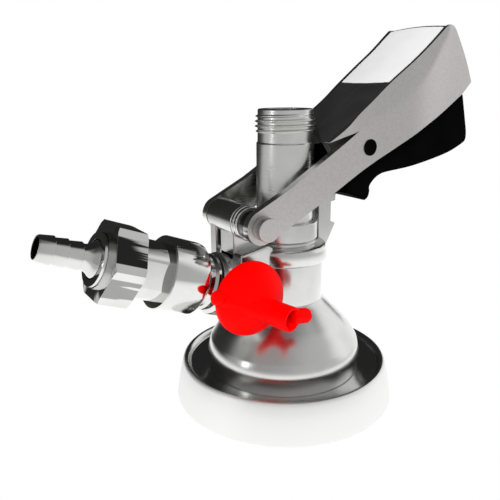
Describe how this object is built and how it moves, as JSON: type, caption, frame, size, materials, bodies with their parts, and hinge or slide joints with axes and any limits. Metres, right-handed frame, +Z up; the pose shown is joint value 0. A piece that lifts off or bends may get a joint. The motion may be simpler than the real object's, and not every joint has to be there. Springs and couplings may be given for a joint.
{
  "type": "keg coupler",
  "caption": "Lever-handle keg coupler: steel body with a round skirt, sliding probe with a threaded outlet, tilted gas inlet with a barbed hose tail, red relief valve and black grip.",
  "frame": {"origin": "centre of the skirt's foot, on the probe's axis, where the keg's neck enters the body", "axes": "+Z up along the probe's axis towards the beer outlet, +X the way the lever's handle reaches, with the gas inlet leaving towards -X and the relief valve facing -Y"},
  "size_m": [0.1834, 0.088, 0.1446],
  "materials": {
    "steel": "polished cast steel",
    "chrome": "polished",
    "satin_steel": "fine turned",
    "lever_steel": "satin with polished edges",
    "black_plastic": "fine moulded grain",
    "red_plastic": "smooth moulded",
    "seal_rubber": "smooth black rubber"
  },
  "bodies": {
    "body": {"body_casting": "steel", "skirt_ring": "steel", "keg_gasket": "seal_rubber", "gas_adapter": "chrome", "gas_adapter_seal": "seal_rubber", "gas_check_valve": "seal_rubber", "relief_insert": "chrome", "relief_gland": "chrome", "pivot_pin": "satin_steel", "pivot_cap": "steel", "pivot_ring": "chrome", "pivot_spacer": "steel"},
    "nut": {"gas_hose_nut": "chrome"},
    "tail": {"hose_tail": "chrome", "tail_washer": "seal_rubber"},
    "relief_stem": {"relief_poppet": "satin_steel", "relief_pad": "seal_rubber", "relief_spring": "satin_steel"},
    "relief_knob": {"relief_cap": "red_plastic"},
    "probe": {"probe_tube": "satin_steel", "upper_probe_seal": "seal_rubber", "lower_probe_seal": "seal_rubber", "probe_foot_seal": "seal_rubber", "link_pins": "satin_steel", "ball_retainer": "satin_steel"},
    "ball": {"check_ball": "satin_steel"},
    "lever": {"lever_frame": "lever_steel", "handle_insert": "black_plastic", "trigger_pin": "black_plastic", "trigger_spring": "satin_steel"},
    "trigger": {"trigger_grip": "black_plastic"}
  },
  "joints": [
    {"name": "lever_hinge", "type": "hinge", "parent": "body", "child": "lever", "pos_m": [-0.021, 0, 0.0748], "axis": [0, 1, 0], "range_deg": [0, 31]},
    {"name": "probe_slide", "type": "slide", "parent": "body", "child": "probe", "axis": [0, 0, -1], "range_m": [0, 0.0128]},
    {"name": "trigger_hinge", "type": "hinge", "parent": "lever", "child": "trigger", "pos_m": [0.028, 0, 0.0994], "axis": [0, -1, 0], "range_deg": [0, 6], "stiffness_Nm_per_rad": 0.5, "springref_deg": -6.88},
    {"name": "relief_lift", "type": "slide", "parent": "body", "child": "relief_stem", "axis": [0, -1, 0], "range_m": [0, 0.0015], "stiffness_N_per_m": 3000, "springref_m": -0.0024},
    {"name": "relief_turn", "type": "hinge", "parent": "relief_stem", "child": "relief_knob", "pos_m": [-0.0265, 0, 0.0501], "axis": [0, -1, 0], "continuous": true},
    {"name": "gas_nut_spin", "type": "hinge", "parent": "body", "child": "nut", "pos_m": [0, 0, 0.0399], "axis": [-0.9336, 0, 0.3584], "continuous": true},
    {"name": "gas_tail_swivel", "type": "hinge", "parent": "body", "child": "tail", "pos_m": [0, 0, 0.0399], "axis": [-0.9336, 0, 0.3584], "continuous": true},
    {"name": "ball_lift", "type": "slide", "parent": "probe", "child": "ball", "axis": [0, 0, 1], "range_m": [0, 0.004]}
  ],
  "couplings": [
    {"joint": "probe_slide", "follows": "lever_hinge", "m_per_rad": 0.02362}
  ]
}
